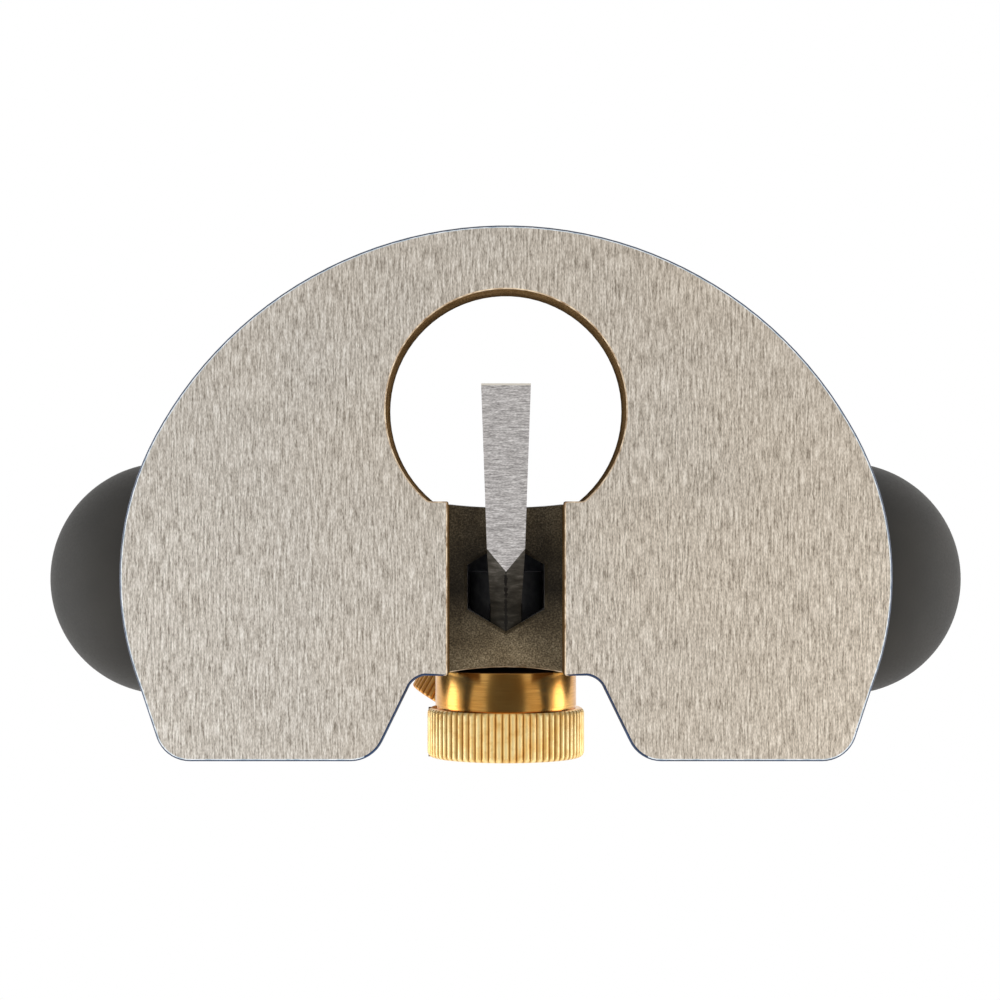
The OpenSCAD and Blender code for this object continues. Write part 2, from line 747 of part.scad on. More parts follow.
module stud_jam_nut() color(dark_steel) translate([0, stud_y, bridge_top]) difference() {
  cylinder(h = jam_nut_h, r = jam_nut_af / sqrt(3), $fn = 6);
  translate([0, 0, -1]) cylinder(h = big, r = stud_r + run_gap);
}

module depth_stop_nut() color(brass) translate([0, stud_y, stop_nut_z]) difference() {
  knurled_disc(stop_nut_r, stop_nut_t, stop_nut_knurls);
  translate([0, 0, -1]) cylinder(h = big, r = stud_r + run_gap);
}

module depth_wheel() color(brass) translate([0, stud_y, wheel_z]) difference() {
  knurled_disc(wheel_r, wheel_t, wheel_knurls);
  translate([0, 0, -1]) cylinder(h = big, r = stud_r + run_gap);
  translate([0, 0, wheel_t - wheel_recess_depth]) difference() {
    cylinder(h = big, r = wheel_r - wheel_rim_w);
    translate([0, 0, -1]) cylinder(h = big, r = stud_r + wheel_hub_t);
  }
}

module stud_cap() color(brass) translate([0, stud_y, cap_z]) difference() {
  union() {
    cylinder(h = cap_t - cap_bevel, r = cap_r);
    translate([0, 0, cap_t - cap_bevel]) cylinder(h = cap_bevel, r1 = cap_r, r2 = cap_r - cap_bevel);
  }
  translate([0, 0, -1]) cylinder(h = big, r = stud_r + run_gap);
}

// Lock screw

module lock_screw_head() color(brass) along_lock() difference() {
  union() {
    translate([0, 0, lock_head_start]) knurled_disc(lock_head_r, lock_head_t, lock_knurls);
    translate([0, 0, lock_head_start - lock_collar_len]) cylinder(h = lock_collar_len + 1, r = lock_collar_r);
  }
  translate([0, 0, lock_bore_start]) cylinder(h = lock_head_t, r = lock_r);
}

module lock_screw_shaft() color(dark_steel) along_lock() translate([0, 0, shaft_start])
  cylinder(h = lock_reach - lock_end_wall - shaft_start, r = lock_r);

module lock_pad() color("#8a5a2b") along_lock() translate([0, 0, pad_start])
  cylinder(h = pad_t, r = lock_r);

// Knobs

module knob() color(charcoal) on_knob() difference() {
  rotate_extrude($fn = 144) intersection() {
    circle(knob_r, $fn = 144);
    translate([0, -knob_base]) square([knob_r, 2 * knob_r]);
  }
  translate([0, 0, -knob_r]) cylinder(h = big, r = knob_stud_r + clear);
  translate([0, 0, knob_floor]) cylinder(h = big, r = knob_nut_r + clear);
}

module right_knob() knob();

module left_knob() mirror([1, 0, 0]) knob();

module knob_studs() color(dark_steel) both_sides() on_knob()
  translate([0, 0, -knob_base - knob_stud_seat])
    cylinder(h = knob_base + knob_stud_seat + knob_stud_end, r = knob_stud_r);

module knob_washers() color(steel) both_sides() on_knob() translate([0, 0, knob_floor]) difference() {
  cylinder(h = washer_t, r = knob_nut_r);
  translate([0, 0, -1]) cylinder(h = big, r = knob_stud_r + run_gap);
}

module knob_nuts() color(brass) both_sides() on_knob() translate([0, 0, knob_floor + washer_t]) difference() {
  cylinder(h = knob_nut_h, r = knob_nut_r);
  translate([0, 0, -1]) cylinder(h = big, r = knob_stud_r + run_gap);
  translate([-big / 2, -knob_slot_w / 2, knob_nut_h - knob_slot_depth]) cube([big, knob_slot_w, big]);
}

body_casting();
cutter();
clamp_eyebolt();
clamp_nut();
depth_stud();
stud_jam_nut();
depth_stop_nut();
depth_wheel();
stud_cap();
lock_screw_head();
lock_screw_shaft();
lock_pad();
left_knob();
right_knob();
knob_studs();
knob_washers();
knob_nuts();
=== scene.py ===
"""Hand router plane: ground sole, painted casting, brass clamp nut and satin ball knobs.

Everything is in metres, in the CAD model's frame: the sole lies on z = 0 and +Y points to its round front.
The camera looks straight up at the sole, as in the photograph.
"""
import math

import bmesh
import bpy
from mathutils import Matrix, Vector


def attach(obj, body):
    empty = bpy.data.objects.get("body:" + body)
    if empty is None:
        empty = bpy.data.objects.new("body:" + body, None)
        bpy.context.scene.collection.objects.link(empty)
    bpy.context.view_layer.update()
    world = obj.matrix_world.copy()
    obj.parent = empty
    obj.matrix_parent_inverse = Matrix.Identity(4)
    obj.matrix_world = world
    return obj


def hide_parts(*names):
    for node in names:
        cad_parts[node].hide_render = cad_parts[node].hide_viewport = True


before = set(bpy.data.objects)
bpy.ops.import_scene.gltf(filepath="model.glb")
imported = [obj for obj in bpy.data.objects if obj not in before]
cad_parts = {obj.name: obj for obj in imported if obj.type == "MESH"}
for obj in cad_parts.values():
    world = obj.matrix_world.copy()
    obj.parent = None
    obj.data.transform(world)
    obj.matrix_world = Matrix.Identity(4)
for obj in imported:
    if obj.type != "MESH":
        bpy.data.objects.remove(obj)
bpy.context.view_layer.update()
MM = 0.001

# Sizes of the model in millimetres, and its turns in degrees
THROAT_R = 30.7
THROAT_Y = 22.1
THROAT_RIM_H = 19.0
SLOT_HALF_W = 15.0
BRIDGE_UNDER = 13.0
LEDGE_FRONT = -1.3
LEDGE_REAR = -45.7
PASSAGE_Y = -23.5
UNDERSIDE_FRONT = -5.5
PASSAGE_POINT_R = 11.55
CLAMP_Z = 27.0
NUT_FRONT = -45.73
SHANK_Y = -30.4
STUD_Y = -14.578
WHEEL_Z = 78.1
STOP_NUT_Z = 58.8
CAP_Z = 89.2
LOCK_Z = 58.0
LOCK_TURN = 30.0
KNOB_CENTRE = (93.5, -22.6, 60.0)
KNOB_TILT = 20.0
SOLE_T = 7.5
CUT_HALF_W = 36.0
PASSAGE_CEILING = 47.0
MOUTH_CHAMFER = 1.2
FOOT_TOP_Z = 6.0
HIGHLIGHT_LINE_Y = 28.3
PAINTED_SHADE_BACK_Y = -29.0
PAINTED_SHADE_FRONT_Y = -18.5
RIDGE_TOP_Z = 13.5
THREAD_BORE_R = 4.06
STUD_FOOT_Z = 42.0
LOCK_THREAD_START = 7.1

# Widths of the casting's broken edges, in millimetres
INNER_EDGE_W = 0.3
OUTER_EDGE_W = 0.65
TOP_EDGE_W = 0.5
REAR_EDGE_W = 0.3
LEDGE_CORNER_W = 0.55

# A knurl's columns round the rim: how far each is sunk, as a share of the groove's depth
SINKS = (1.0, 0.42, 0.08, 0.0, 0.08, 0.42)

# How close a point lies to a level or a ring that it is on, in millimetres
NEAR = 0.05
HAIR = 0.01
FLUSH = 0.001

# How far the rims of the openings, their drafted sides and the edge strip of the sole reach, in millimetres
RIM_REACH = 0.7
DRAFT_REACH = 0.4
EDGE_STRIP_H = 0.1

# The least size of a face normal's Z at which the face counts as level
LEVEL = 0.9

# The camera of the photograph, in metres, and its lens in millimetres
CAMERA_PLACE = (0.00153, -0.00095, -0.687)
LENS = 97.2


# Meshes

def place(mesh_object, matrix):
    """Turns and shifts the mesh itself, so that the object stays at the origin."""
    mesh_object.data.transform(matrix)
    mesh_object.data.update()


def new_piece(name, shape, sharp_angle=35.0):
    """Makes an object from a bmesh, smooth but for its sharp edges."""
    mesh = bpy.data.meshes.new(name)
    shape.to_mesh(mesh)
    shape.free()
    for attribute in [a for a in mesh.attributes if a.name == "custom_normal"]:
        mesh.attributes.remove(attribute)
    mesh.shade_smooth()
    mesh.set_sharp_from_angle(angle=math.radians(sharp_angle))
    piece = bpy.data.objects.new(name, mesh)
    bpy.context.scene.collection.objects.link(piece)
    return piece


def merged_shape(node, dissolve_angle=0.4):
    """A CAD node's mesh as whole faces: doubles merged and flat neighbours joined."""
    shape = bmesh.new()
    shape.from_mesh(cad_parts[node].data)
    bmesh.ops.remove_doubles(shape, verts=shape.verts, dist=2e-6)
    bmesh.ops.dissolve_limit(shape, angle_limit=math.radians(dissolve_angle), verts=shape.verts,
                             edges=shape.edges)
    return shape


def soften(piece, width, angle=35.0):
    """Rounds the sharp edges of a finished piece by a width in millimetres."""
    bevel = piece.modifiers.new("soft edges", "BEVEL")
    bevel.width = width * MM
    bevel.segments = 2
    bevel.limit_method = "ANGLE"
    bevel.angle_limit = math.radians(angle)
    bevel.use_clamp_overlap = True
    bevel.harden_normals = True


def lathe(profile, steps):
    """Turns a closed profile of (radius, height) points, in millimetres, about Z."""
    shape = bmesh.new()
    points = [shape.verts.new((r * MM, 0, z * MM)) for r, z in profile]
    for i, point in enumerate(points):
        follower = points[(i + 1) % len(points)]
        if point.co.x > 0 or follower.co.x > 0:
            shape.edges.new((point, follower))
    bmesh.ops.spin(shape, geom=shape.verts[:] + shape.edges[:], cent=(0, 0, 0), axis=(0, 0, 1),
                   angle=math.tau, steps=steps, use_merge=True, use_duplicate=False)
    bmesh.ops.remove_doubles(shape, verts=shape.verts, dist=1e-6)
    bmesh.ops.recalc_face_normals(shape, faces=shape.faces)
    return shape


def round_edges(shape, edges, width, segments, clamp=False):
    """Rounds the given edges by a width in millimetres."""
    bmesh.ops.bevel(shape, geom=edges, offset=width * MM, offset_type="OFFSET", segments=segments,
                    profile=0.5, affect="EDGES", clamp_overlap=clamp, material=-1)


def round_rings(shape, width, segments, low, high, least_r):
    """Rounds the turned edges at heights from low to high and from a least radius on, in millimetres."""
    rings = []
    for edge in shape.edges:
        a, b = edge.verts[0].co, edge.verts[1].co
        is_ring = abs(a.z - b.z) < 1e-7 and abs(a.xy.length - b.xy.length) < 1e-7
        if not is_ring or len(edge.link_faces) != 2 or a.xy.length < least_r * MM:
            continue
        if (low - HAIR) * MM <= a.z <= (high + HAIR) * MM and edge.calc_face_angle() > math.radians(25):
            rings.append(edge)
    round_edges(shape, rings, width, segments, clamp=True)


def cut_knurls(shape, outer_r, depth, knurls):
    """Sinks straight grooves between rounded knurls; the attribute groove notes how deep a point lies."""
    groove = shape.verts.layers.float.new("groove")
    for vertex in shape.verts:
        r = vertex.co.xy.length / MM
        column = round(math.atan2(vertex.co.y, vertex.co.x) / math.tau * knurls * len(SINKS)) % len(SINKS)
        sunk = outer_r - depth * SINKS[column]
        if r > sunk:
            vertex.co.xy *= sunk / r
        if r > outer_r - 2 * depth:
            vertex[groove] = SINKS[column]


def thread(radius, pitch, length):
    """A right-hand thread about Z from z = 0, cut square at both ends."""
    steps = 32
    # How far in each point of the profile is sunk and how far up it lies, as shares of the pitch
    flanks = ((0.6, 0.0), (0.12, 0.42), (0.0, 0.5), (0.12, 0.58), (0.6, 1.0))
    turns = math.ceil(length / pitch) + 2
    shape = bmesh.new()
    points = [shape.verts.new(((radius - sunk * pitch) * MM, 0, (rise * pitch - pitch) * MM))
              for sunk, rise in flanks]
    for a, b in zip(points, points[1:]):
        shape.edges.new((a, b))
    bmesh.ops.spin(shape, geom=shape.verts[:] + shape.edges[:], cent=(0, 0, 0), axis=(0, 0, 1),
                   dvec=(0, 0, pitch * MM / steps), angle=math.tau * turns, steps=steps * turns,
                   use_merge=False, use_duplicate=False)
    bmesh.ops.remove_doubles(shape, verts=shape.verts, dist=2e-6)
    for height, side in ((0.0, -1), (length, 1)):
        cut = bmesh.ops.bisect_plane(shape, geom=shape.verts[:] + shape.edges[:] + shape.faces[:],
                                     plane_co=(0, 0, height * MM), plane_no=(0, 0, side), clear_outer=True)
        rim = [e for e in cut["geom_cut"] if isinstance(e, bmesh.types.BMEdge)]
        bmesh.ops.holes_fill(shape, edges=rim, sides=0)
    bmesh.ops.recalc_face_normals(shape, faces=shape.faces)
    return shape


def dress(piece, body, node, slot, *finishes):
    """Puts a piece in a CAD node's place, with its finishes."""
    for finish in finishes:
        piece.data.materials.append(finish)
    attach(piece, body)
    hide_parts(node)


# Finishes

def colour(red, green, blue):
    """An sRGB colour, 0 to 255, as the linear values that a shader takes."""
    channels = [c / 255 for c in (red, green, blue)]
    return tuple(c / 12.92 if c <= 0.04045 else ((c + 0.055) / 1.055) ** 2.4 for c in channels) + (1.0,)


def join(tree, kind, inputs=(), **settings):
    """Adds a node, with its settings and its inputs given as values or as other nodes' outputs."""
    made = tree.nodes.new(kind)
    for name, value in settings.items():
        setattr(made, name, value)
    for name, value in dict(inputs).items():
        if isinstance(value, bpy.types.NodeSocket):
            tree.links.new(value, made.inputs[name])
        else:
            made.inputs[name].default_value = value
    return made


def grain(tree, stretch, detail=2.0, roughness=0.5):
    """Noise on Object coordinates; stretch is how many cells there are to a metre along X, Y and Z."""
    place_node = join(tree, "ShaderNodeTexCoord")
    mapping = join(tree, "ShaderNodeMapping", {"Vector": place_node.outputs["Object"], "Scale": stretch})
    noise = join(tree, "ShaderNodeTexNoise", {"Vector": mapping.outputs["Vector"], "Scale": 1.0,
                                              "Detail": detail, "Roughness": roughness})
    return noise.outputs["Fac"]


def ramp(tree, value, *stops):
    """Colours along a value; each stop is a place from 0 to 1 and a colour."""
    made = join(tree, "ShaderNodeValToRGB", {"Fac": value})
    points = made.color_ramp.elements
    while len(points) < len(stops):
        points.new(0.5)
    for point, (position, shade) in zip(points, stops):
        point.position = position
        point.color = shade
    return made.outputs["Color"]


def blend(tree, factor, first, second, how="MIX"):
    """Mixes two colours. The mix node's colour sockets are the inputs 6 and 7, and the output 2."""
    made = join(tree, "ShaderNodeMix", {0: factor, 6: first, 7: second}, data_type="RGBA", blend_type=how)
    return made.outputs[2]


def times(tree, first, second):
    """Multiplies two colours."""
    return blend(tree, 1.0, first, second, "MULTIPLY")


def reckon(tree, what, *values):
    """The outcome of one step of arithmetic on numbers or other nodes' outputs."""
    return join(tree, "ShaderNodeMath", enumerate(values), operation=what).outputs[0]


def between(tree, value, low, high, at_low=0.0, at_high=1.0):
    """Moves a value that runs from low to high onto at_low to at_high, and stops there."""
    made = join(tree, "ShaderNodeMapRange", {"Value": value, "From Min": low, "From Max": high,
                                             "To Min": at_low, "To Max": at_high})
    return made.outputs["Result"]


def spread(tree, noise, low, high):
    """Noise, most of which lies between 0.3 and 0.7, moved onto low to high."""
    return between(tree, noise, 0.3, 0.7, low, high)


def weigh(tree, first, share, second):
    """The sum of a share of one value and the rest of another."""
    return reckon(tree, "MULTIPLY_ADD", first, share, reckon(tree, "MULTIPLY", second, 1.0 - share))


def shader(name, metallic, **sockets):
    """A material with its Principled shader, whose plain numbers are set on the shader itself."""
    material = bpy.data.materials.new(name)
    material.use_nodes = True
    tree = material.node_tree
    surface = tree.nodes["Principled BSDF"]
    surface.inputs["Metallic"].default_value = metallic
    for socket, value in sockets.items():
        surface.inputs[socket.replace("_", " ")].default_value = value
    return material, tree, surface


def cover(tree, surface, base, noise, rough, smooth, bump):
    """Gives a shader its colour, its roughness over the noise, and the noise as a bump in millimetres."""
    tree.links.new(base, surface.inputs["Base Color"])
    tree.links.new(spread(tree, noise, rough, smooth), surface.inputs["Roughness"])
    emboss(tree, surface, noise, bump)


def emboss(tree, surface, height, distance):
    """Links a height, in millimetres, to a shader's normal."""
    bump = join(tree, "ShaderNodeBump", {"Height": height, "Distance": distance * MM, "Strength": 1.0})
    tree.links.new(bump.outputs["Normal"], surface.inputs["Normal"])


def grey(value):
    """A grey of a linear value."""
    return (value, value, value, 1)


def along(tree, axis):
    """Where a point of the piece lies along one axis, in metres."""
    place_node = join(tree, "ShaderNodeTexCoord")
    return join(tree, "ShaderNodeSeparateXYZ", {"Vector": place_node.outputs["Object"]}).outputs[axis]


def ground_iron():
    """The sole: iron ground in short strokes along Y, with patches of tone and a painted warm light towards
    -X.
    """
    material, tree, surface = shader("ground iron", 0.4)
    long_strokes = grain(tree, (2000, 125, 300), 1.0, 0.6)
    strokes = grain(tree, (2100, 330, 400), 2.0, 0.7)
    fine = grain(tree, (4200, 1200, 1500), 1.0, 0.5)
    cloud = grain(tree, (22, 22, 22), 1.0)
    mixed = weigh(tree, fine, 0.25, weigh(tree, long_strokes, 0.42, strokes))
    base = ramp(tree, mixed, (0.37, colour(136, 128, 118)), (0.5, colour(204, 197, 188)),
                (0.63, colour(248, 244, 238)))
    # Half random patches of tone, half a painted warm light that grows towards -X.
    patches_and_painted_warm_light = weigh(tree, cloud, 0.5, between(tree, along(tree, "X"), -90 * MM, 90 * MM))
    tone = ramp(tree, patches_and_painted_warm_light, (0.3, colour(254, 248, 239)), (0.7, colour(253, 252, 250)))
    cover(tree, surface, times(tree, base, tone), mixed, 0.52, 0.38, 0.035)
    return material


def raw_casting(name, shine, shadow, body, light, axis, low, high, *stops):
    """Sand-cast iron under lacquer. The stops are painted shade along one axis, low to high in millimetres.
    """
    material, tree, surface = shader(name, 0.0, Specular_IOR_Level=shine)
    sand = grain(tree, (2400, 2400, 2400), 2.0, 0.6)
    patches = grain(tree, (170, 170, 170), 2.0)
    base = ramp(tree, sand, (0.34, shadow), (0.52, body), (0.7, light))
    tone = ramp(tree, patches, (0.3, colour(205, 198, 186)), (0.7, colour(255, 252, 246)))
    # Painted shade: the stops darken the iron along one axis, as in a recess.
    reach = ramp(tree, between(tree, along(tree, axis), low * MM, high * MM),
                 *((position, grey(value)) for position, value in stops))
    cover(tree, surface, times(tree, times(tree, base, tone), reach), sand, 0.62, 0.45, 0.15)
    return material


def blue_enamel():
    """Dark blue paint over a sand-cast surface, with a little more colour where it is thin."""
    material, tree, surface = shader("blue enamel", 0.0, Coat_Weight=0.3, Coat_Roughness=0.16)
    peel = grain(tree, (750, 750, 750), 1.0)
    cast = grain(tree, (190, 190, 190), 3.0, 0.6)
    cloud = grain(tree, (35, 35, 35), 1.0)
    base = ramp(tree, cast, (0.3, colour(12, 33, 60)), (0.7, colour(21, 51, 88)))
    tone = ramp(tree, cloud, (0.35, colour(215, 222, 232)), (0.65, colour(255, 255, 255)))
    tree.links.new(times(tree, base, tone), surface.inputs["Base Color"])
    tree.links.new(spread(tree, peel, 0.4, 0.28), surface.inputs["Roughness"])
    emboss(tree, surface, reckon(tree, "MULTIPLY_ADD", cast, 3.0, peel), 0.045)
    return material


def ground_tool_steel():
    """The cutter's flat: bright steel ground in strokes across it, with a painted highlight along its edge.
    """
    material, tree, surface = shader("ground tool steel", 0.45)
    strokes = grain(tree, (330, 2600, 2600), 2.0, 0.6)
    fine = grain(tree, (1500, 4200, 4200), 1.0)
    mixed = weigh(tree, fine, 0.4, strokes)
    base = ramp(tree, mixed, (0.34, colour(138, 135, 134)), (0.5, colour(192, 188, 187)),
                (0.66, colour(238, 235, 234)))
    # Painted highlight: a light line along the cutting edge.
    at_edge = reckon(tree, "GREATER_THAN", along(tree, "Y"), HIGHLIGHT_LINE_Y * MM)
    cover(tree, surface, blend(tree, at_edge, base, colour(232, 226, 214)), mixed, 0.5, 0.34, 0.03)
    return material


def black_tool_steel():
    """The cutter's heel and shank: dark steel, painted shade darkening it to the back, and a broken line on
    the ridge.
    """
    material, tree, surface = shader("black tool steel", 0.5)
    scale = grain(tree, (260, 900, 260), 3.0, 0.6)
    base = ramp(tree, scale, (0.3, colour(50, 47, 41)), (0.55, colour(80, 77, 71)),
                (0.75, colour(116, 113, 107)))
    # Painted shade: the heel and shank darken towards the back, where the shank enters the passage.
    shade = ramp(tree, between(tree, along(tree, "Y"), PAINTED_SHADE_BACK_Y * MM, PAINTED_SHADE_FRONT_Y * MM),
                 (0.0, (0.36, 0.35, 0.32, 1)), (0.35, (0.55, 0.54, 0.52, 1)), (1.0, grey(1.1)))
    dashes = grain(tree, (300, 900, 900), 2.0, 0.7)
    half_width = between(tree, dashes, 0.35, 0.6, 0.05 * MM, 0.5 * MM)
    on_ridge = reckon(tree, "LESS_THAN", reckon(tree, "ABSOLUTE", along(tree, "X")), half_width)
    on_heel = reckon(tree, "LESS_THAN", along(tree, "Z"), RIDGE_TOP_Z * MM)
    line = reckon(tree, "MULTIPLY", on_ridge, on_heel)
    base = blend(tree, line, times(tree, base, shade), colour(18, 16, 13))
    cover(tree, surface, base, scale, 0.5, 0.32, 0.03)
    return material


def worn(name, metallic, stretch, detail, dark, bright, roughness, bump, **sockets):
    """A plain finish that one noise wears from a dark to a bright colour, and from rough to smooth."""
    material, tree, surface = shader(name, metallic, **sockets)
    wear = grain(tree, stretch, detail)
    cover(tree, surface, ramp(tree, wear, dark, bright), wear, *roughness, bump)
    return material


def highlighted_edge_iron(name, dark, bright):
    """A broken edge, coloured light as a painted highlight along it."""
    return worn(name, 0.2, (500, 500, 500), 2.0, (0.3, dark), (0.65, bright), (0.5, 0.35), 0.03)


def dark_passage():
    """Dark walls of the hexagonal passage."""
    return worn("dark passage", 0.0, (700, 700, 250), 2.0, (0.3, colour(98, 99, 102)),
                (0.7, colour(122, 122, 124)), (0.5, 0.36), 0.03, Specular_IOR_Level=0.2)


def black_oxide():
    """The eyebolt in its passage: dull black oxide that mirrors little."""
    return worn("black oxide", 0.15, (420, 420, 420), 3.0, (0.35, colour(52, 53, 55)),
                (0.75, colour(69, 69, 70)), (0.7, 0.55), 0.02, Specular_IOR_Level=0.2)


def blackened_steel():
    """Oiled black steel of the studs, the jam nut and the lock screw's thread."""
    return worn("blackened steel", 0.75, (420, 420, 420), 3.0, (0.35, colour(38, 37, 37)),
                (0.75, colour(74, 71, 68)), (0.46, 0.3), 0.02)


def plain_steel():
    """Bright steel of the washers."""
    return worn("plain steel", 0.9, (600, 600, 600), 2.0, (0.3, colour(150, 148, 146)),
                (0.7, colour(198, 196, 193)), (0.42, 0.28), 0.01)


def turned_brass(name, stretch):
    """Brass with the fine rings of the lathe; stretch puts the rings across the piece's axis."""
    material, tree, surface = shader(name, 1.0)
    rings = grain(tree, stretch, 2.0, 0.6)
    tarnish = grain(tree, (120, 120, 120), 3.0)
    base = ramp(tree, tarnish, (0.3, colour(228, 162, 78)), (0.6, colour(240, 184, 102)))
    tone = ramp(tree, rings, (0.3, colour(232, 228, 220)), (0.7, colour(255, 255, 255)))
    cover(tree, surface, times(tree, base, tone), rings, 0.26, 0.18, 0.002)
    return material


def knurl_brass(name, deep, pale):
    """Brass of the knurled rims, painted shade darkening the grooves, with small dents from handling."""
    material, tree, surface = shader(name, 0.55)
    dents = grain(tree, (420, 420, 420), 2.0, 0.6)
    tarnish = grain(tree, (160, 160, 160), 3.0)
    base = ramp(tree, tarnish, (0.3, deep), (0.6, pale))
    tone = ramp(tree, dents, (0.25, colour(236, 222, 200)), (0.5, colour(255, 255, 255)))
    groove = join(tree, "ShaderNodeAttribute", attribute_name="groove").outputs["Fac"]
    # Painted shade: the deeper a point lies in a groove, the darker it is.
    shade = ramp(tree, groove, (0.0, grey(1)), (0.42, (0.88, 0.74, 0.54, 1)), (1.0, (0.4, 0.25, 0.1, 1)))
    cover(tree, surface, times(tree, times(tree, base, tone), shade), dents, 0.42, 0.28, 0.01)
    return material


def satin_knob():
    """Charcoal satin of the ball knobs, with a faint moulded grain."""
    material, tree, surface = shader("satin charcoal", 0.0, Specular_IOR_Level=0.15)
    skin = grain(tree, (1500, 1500, 1500), 2.0)
    cloud = grain(tree, (45, 45, 45), 2.0)
    base = ramp(tree, cloud, (0.3, colour(51, 50, 48)), (0.7, colour(59, 57, 54)))
    cover(tree, surface, base, skin, 0.6, 0.5, 0.012)
    return material


# The casting. Its functions take points and centres in millimetres.

SOLE, INNER_EDGE, OUTER_EDGE, WALL, UNDERSIDE, PASSAGE, PAINT = range(7)


def in_opening(point):
    """Whether a point lies, in plan, at the throat or the slot."""
    at_throat = math.hypot(point.x, point.y - THROAT_Y) < THROAT_R + RIM_REACH and point.y > LEDGE_FRONT - 1
    return at_throat or (abs(point.x) < SLOT_HALF_W + RIM_REACH and point.y < LEDGE_FRONT + 1)


def off_openings(point):
    """Whether a point lies away from the throat and the slot."""
    return not in_opening(point)


def at_rear_arch(point):
    """Whether a point lies at the hollow rear edge of the bridge's underside."""
    return abs(point.x) < SLOT_HALF_W and LEDGE_REAR - 0.2 < point.y < LEDGE_REAR + 2.0


def casting_finish(face):
    """Which finish a face of the casting has, from its place and the way that it faces."""
    centre = face.calc_center_median() / MM
    facing = face.normal.z
    from_passage = math.hypot(centre.x, centre.y - PASSAGE_Y)
    wall_top = THROAT_RIM_H - 0.2 if centre.y > LEDGE_FRONT else BRIDGE_UNDER + NEAR
    inside = in_opening(centre) and centre.z < wall_top
    if centre.z < FLUSH:
        return SOLE
    if centre.z < INNER_EDGE_W and inside:
        return INNER_EDGE
    if centre.z < EDGE_STRIP_H:
        at_cut = abs(centre.x) < CUT_HALF_W and centre.y < LEDGE_REAR + 1
        return PAINT if at_cut else OUTER_EDGE
    if facing < -LEVEL and abs(centre.z - BRIDGE_UNDER) < NEAR:
        return UNDERSIDE
    if from_passage < PASSAGE_POINT_R + MOUTH_CHAMFER and BRIDGE_UNDER - 0.1 < centre.z < PASSAGE_CEILING:
        at_its_mouth = centre.z < BRIDGE_UNDER + MOUTH_CHAMFER and facing < -0.3
        return UNDERSIDE if at_its_mouth else PASSAGE
    if centre.z < BRIDGE_UNDER + REAR_EDGE_W and facing < -0.05 and at_rear_arch(centre):
        return INNER_EDGE
    if abs(facing) < LEVEL and inside:
        return WALL
    return PAINT


def rim_edges(shape, height, wanted):
    """Outward corners of the casting at one height, at the places that wanted accepts."""
    found = []
    for edge in shape.edges:
        at_height = all(abs(v.co.z - height * MM) < 1e-6 for v in edge.verts)
        if not at_height or len(edge.link_faces) != 2 or not edge.is_convex:
            continue
        middle = (edge.verts[0].co + edge.verts[1].co) / 2 / MM
        if wanted(middle) and edge.calc_face_angle() > math.radians(30):
            found.append(edge)
    return found


def ledge_corners(shape):
    """The sole's outward corners where the slot's sides meet its ledges. They are drafted, not upright."""
    found = []
    for edge in shape.edges:
        low, high = sorted((v.co / MM for v in edge.verts), key=lambda point: point.z)
        at_side = all(abs(abs(end.x) - SLOT_HALF_W) < DRAFT_REACH for end in (low, high))
        at_ledge = min(abs(low.y - LEDGE_FRONT), abs(low.y - LEDGE_REAR)) < NEAR
        if at_side and at_ledge and low.z < HAIR and high.z > SOLE_T - 0.1 and edge.is_convex:
            found.append(edge)
    return found


def build_casting():
    """The casting: its own shape with broken edges, each face in its finish."""
    shape = merged_shape("body_casting")
    # A top face with holes in it has to be in triangles before its rims are rounded, or the holes fill.
    sole_top = [face for face in shape.faces if face.normal.z > 0.99 and
                abs(face.calc_center_median().z / MM - SOLE_T) < NEAR]
    bmesh.ops.triangulate(shape, faces=sole_top)
    round_edges(shape, ledge_corners(shape), LEDGE_CORNER_W, 3)
    for height, width, wanted in ((0, INNER_EDGE_W, in_opening), (0, OUTER_EDGE_W, off_openings),
                                  (SOLE_T, TOP_EDGE_W, off_openings),
                                  (BRIDGE_UNDER, REAR_EDGE_W, at_rear_arch)):
        round_edges(shape, rim_edges(shape, height, wanted), width, 4)
    for face in shape.faces:
        face.material_index = casting_finish(face)
    piece = new_piece("casting", shape, 30.0)
    # The throat's wall carries painted shade, darker towards its top, deeper in the throat.
    walls = raw_casting("bare wall with painted shade", 0.0, colour(78, 58, 36), colour(116, 92, 62), colour(156, 128, 92),
                        "Z", 0, THROAT_RIM_H, (0.0, 1.1), (0.45, 0.75), (1.0, 0.3))
    # The bridge's underside carries painted shade, darkest across its middle, lighter to its rear and its
    # front.
    underside = raw_casting("bare underside with painted shade", 0.3, colour(84, 75, 58), colour(122, 110, 89),
                            colour(166, 153, 128), "Y", LEDGE_REAR, UNDERSIDE_FRONT,
                            (0.0, 0.92), (0.16, 0.78), (0.53, 0.1), (0.75, 0.2), (1.0, 0.68))
    dress(piece, "body", "body_casting", "casting", ground_iron(),
          # The broken edges of the openings and of the outline are lightened into painted highlights.
          highlighted_edge_iron("inner edge, painted highlight", colour(150, 118, 84), colour(238, 218, 188)),
          highlighted_edge_iron("outer edge, painted highlight", colour(168, 184, 196), colour(236, 242, 246)),
          walls, underside, dark_passage(), blue_enamel())


# The cutter

CUTTER_FLAT, CUTTER_DARK = range(2)


def build_cutter():
    """The cutter: its own shape, bright on the flat and dark elsewhere."""
    shape = merged_shape("cutter", 0.2)
    for face in shape.faces:
        is_flat = face.normal.z < -0.99 and face.calc_center_median().z / MM < FOOT_TOP_Z
        face.material_index = CUTTER_FLAT if is_flat else CUTTER_DARK
    piece = new_piece("cutter_blade", shape, 20.0)
    soften(piece, 0.12, angle=20.0)
    dress(piece, "cutter", "cutter", "tool_steel", ground_tool_steel(), black_tool_steel())


# Turned brass. Profiles are in millimetres.

TURNED, KNURLED = range(2)


